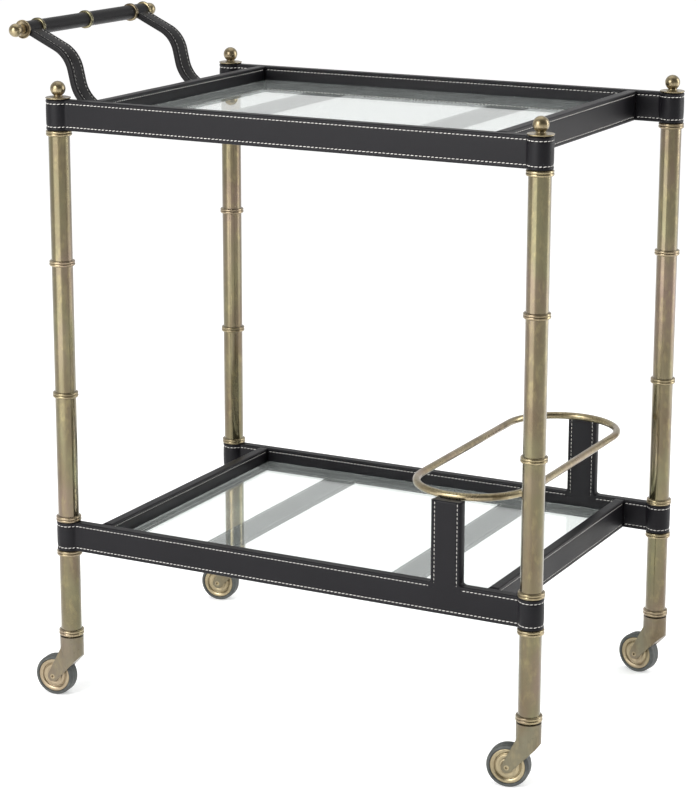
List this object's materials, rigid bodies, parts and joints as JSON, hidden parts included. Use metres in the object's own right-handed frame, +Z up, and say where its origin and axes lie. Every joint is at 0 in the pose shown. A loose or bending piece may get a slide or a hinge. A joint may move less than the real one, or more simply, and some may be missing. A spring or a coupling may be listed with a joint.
{
  "type": "serving trolley",
  "caption": "Wheeled serving trolley with ringed brass legs, leather-wrapped tray frames holding loose glass shelves, a push handle, a bottle gallery and swivel castors.",
  "frame": {"origin": "on the floor, under the centre of the overall box", "axes": "+X along the trolley from the push handle to the gallery end, +Y across it to the back, +Z up"},
  "size_m": [0.729, 0.4334, 0.82],
  "materials": {
    "aged_brass": "aged, mottled patina with heat tint, brighter on the ring edges",
    "black_leather": "charcoal-black smooth leather with off-white stitching",
    "shelf_glass": "clear float glass with a green edge",
    "frame_steel": "plain mild steel, hidden",
    "tyre_rubber": "matt dark rubber"
  },
  "bodies": {
    "trolley": {"back_left_finial_ball": "aged_brass", "back_left_lower_tube": "aged_brass", "back_left_rings": "aged_brass", "back_left_upper_tube": "aged_brass", "back_right_finial_ball": "aged_brass", "back_right_lower_tube": "aged_brass", "back_right_rings": "aged_brass", "back_right_upper_tube": "aged_brass", "bottle_gallery_ring": "aged_brass", "castor_stems": "frame_steel", "finial_flanges": "aged_brass", "front_left_finial_ball": "aged_brass", "front_left_lower_tube": "aged_brass", "front_left_rings": "aged_brass", "front_left_upper_tube": "aged_brass", "front_right_finial_ball": "aged_brass", "front_right_lower_tube": "aged_brass", "front_right_rings": "aged_brass", "front_right_upper_tube": "aged_brass", "handle_arm_steels": "frame_steel", "handle_back_arm_leather": "black_leather", "handle_end_balls": "aged_brass", "handle_end_discs": "aged_brass", "handle_front_arm_leather": "black_leather", "handle_grips": "black_leather", "handle_rings": "aged_brass", "handle_rod": "frame_steel", "leg_tie_rods": "frame_steel", "lower_back_leather": "black_leather", "lower_crossbar_leathers": "black_leather", "lower_front_leather": "black_leather", "lower_ledge_leathers": "black_leather", "lower_left_leather": "black_leather", "lower_right_leather": "black_leather", "lower_steel_frame": "frame_steel", "upper_back_leather": "black_leather", "upper_crossbar_leathers": "black_leather", "upper_front_leather": "black_leather", "upper_ledge_leathers": "black_leather", "upper_left_leather": "black_leather", "upper_right_leather": "black_leather", "upper_steel_frame": "frame_steel"},
    "castor_front_left": {"front_left_fork": "aged_brass", "front_left_axle": "aged_brass"},
    "wheel_front_left": {"front_left_wheel_hub": "aged_brass", "front_left_wheel_tyre": "tyre_rubber"},
    "castor_front_right": {"front_right_fork": "aged_brass", "front_right_axle": "aged_brass"},
    "wheel_front_right": {"front_right_wheel_hub": "aged_brass", "front_right_wheel_tyre": "tyre_rubber"},
    "castor_back_right": {"back_right_fork": "aged_brass", "back_right_axle": "aged_brass"},
    "wheel_back_right": {"back_right_wheel_hub": "aged_brass", "back_right_wheel_tyre": "tyre_rubber"},
    "castor_back_left": {"back_left_fork": "aged_brass", "back_left_axle": "aged_brass"},
    "wheel_back_left": {"back_left_wheel_hub": "aged_brass", "back_left_wheel_tyre": "tyre_rubber"},
    "upper_glass_shelf": {"upper_glass": "shelf_glass"},
    "lower_glass_shelf": {"lower_glass": "shelf_glass"}
  },
  "joints": [
    {"name": "front_left_swivel", "type": "hinge", "parent": "trolley", "child": "castor_front_left", "pos_m": [-0.26095, -0.2, 0.0722], "axis": [0, 0, 1], "continuous": true},
    {"name": "front_left_roll", "type": "hinge", "parent": "castor_front_left", "child": "wheel_front_left", "pos_m": [-0.28283, -0.2023, 0.025], "axis": [0.1045, -0.9945, 0], "continuous": true},
    {"name": "front_right_swivel", "type": "hinge", "parent": "trolley", "child": "castor_front_right", "pos_m": [0.34905, -0.2, 0.0722], "axis": [0, 0, 1], "continuous": true},
    {"name": "front_right_roll", "type": "hinge", "parent": "castor_front_right", "child": "wheel_front_right", "pos_m": [0.32738, -0.20382, 0.025], "axis": [0.1736, -0.9848, 0], "continuous": true},
    {"name": "back_right_swivel", "type": "hinge", "parent": "trolley", "child": "castor_back_right", "pos_m": [0.34905, 0.2, 0.0722], "axis": [0, 0, 1], "continuous": true},
    {"name": "back_right_roll", "type": "hinge", "parent": "castor_back_right", "child": "wheel_back_right", "pos_m": [0.32738, 0.20382, 0.025], "axis": [-0.1736, -0.9848, 0], "continuous": true},
    {"name": "back_left_swivel", "type": "hinge", "parent": "trolley", "child": "castor_back_left", "pos_m": [-0.26095, 0.2, 0.0722], "axis": [0, 0, 1], "continuous": true},
    {"name": "back_left_roll", "type": "hinge", "parent": "castor_back_left", "child": "wheel_back_left", "pos_m": [-0.28274, 0.19694, 0.025], "axis": [0.1392, -0.9903, 0], "continuous": true},
    {"name": "upper_glass_lift", "type": "slide", "parent": "trolley", "child": "upper_glass_shelf", "axis": [0, 0, 1], "range_m": [0, 0.1]},
    {"name": "lower_glass_lift", "type": "slide", "parent": "trolley", "child": "lower_glass_shelf", "axis": [0, 0, 1], "range_m": [0, 0.1]}
  ]
}
